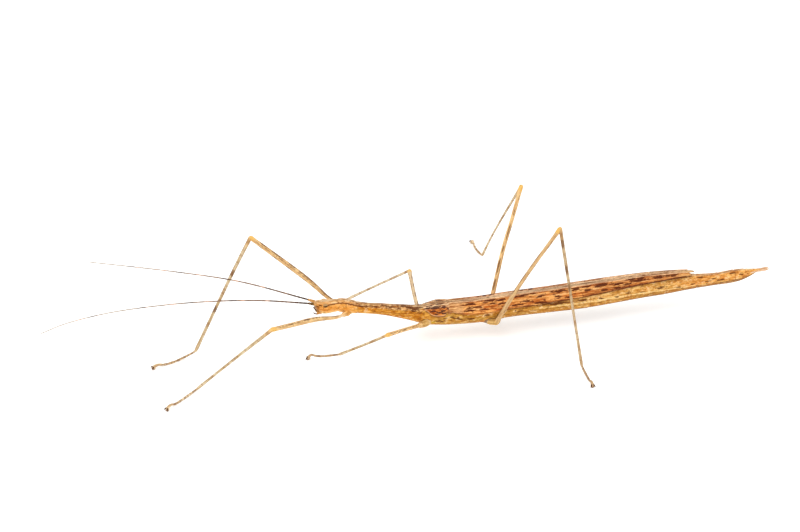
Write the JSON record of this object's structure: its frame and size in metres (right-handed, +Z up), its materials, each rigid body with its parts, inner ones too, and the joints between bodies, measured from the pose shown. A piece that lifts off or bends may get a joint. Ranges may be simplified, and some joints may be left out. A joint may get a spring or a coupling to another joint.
{
  "type": "stick insect model",
  "caption": "Still, life-size model of a winged adult stick insect, standing on long thin splayed legs, with wings closed along its back and feelers held forward.",
  "frame": {"origin": "on the floor, under the middle of the bounding box", "axes": "+X along the body from head to tail, +Y towards the insect's right side, +Z up from the floor"},
  "size_m": [0.1378, 0.0516, 0.0251],
  "materials": {
    "body": "satin",
    "wings": "satin",
    "legs": "satin",
    "feelers": "matte",
    "eyes": "gloss"
  },
  "bodies": {
    "root": {"head": "body", "prothorax": "body", "mesothorax": "body", "metathorax": "body", "abdomen_2": "body", "abdomen_3": "body", "abdomen_4": "body", "abdomen_5": "body", "abdomen_6": "body", "abdomen_7": "body", "abdomen_8": "body", "abdomen_9": "body", "abdomen_10": "body", "operculum": "body", "hind_wing_left": "wings", "hind_wing_right": "wings", "tegmen_left": "wings", "tegmen_right": "wings", "eye_left": "eyes", "scape_left": "body", "flagellum_left": "feelers", "eye_right": "eyes", "scape_right": "body", "flagellum_right": "feelers", "jaws": "body", "palp_left": "body", "palp_right": "body", "cercus_left": "body", "cercus_right": "body", "coxa_fore_left": "legs", "femur_fore_left": "legs", "tibia_fore_left": "legs", "tarsus_fore_left": "legs", "coxa_fore_right": "legs", "femur_fore_right": "legs", "tibia_fore_right": "legs", "tarsus_fore_right": "legs", "coxa_middle_left": "legs", "femur_middle_left": "legs", "tibia_middle_left": "legs", "tarsus_middle_left": "legs", "coxa_middle_right": "legs", "femur_middle_right": "legs", "tibia_middle_right": "legs", "tarsus_middle_right": "legs", "coxa_hind_left": "legs", "femur_hind_left": "legs", "tibia_hind_left": "legs", "tarsus_hind_left": "legs", "coxa_hind_right": "legs", "femur_hind_right": "legs", "tibia_hind_right": "legs", "tarsus_hind_right": "legs"}
  },
  "joints": []
}
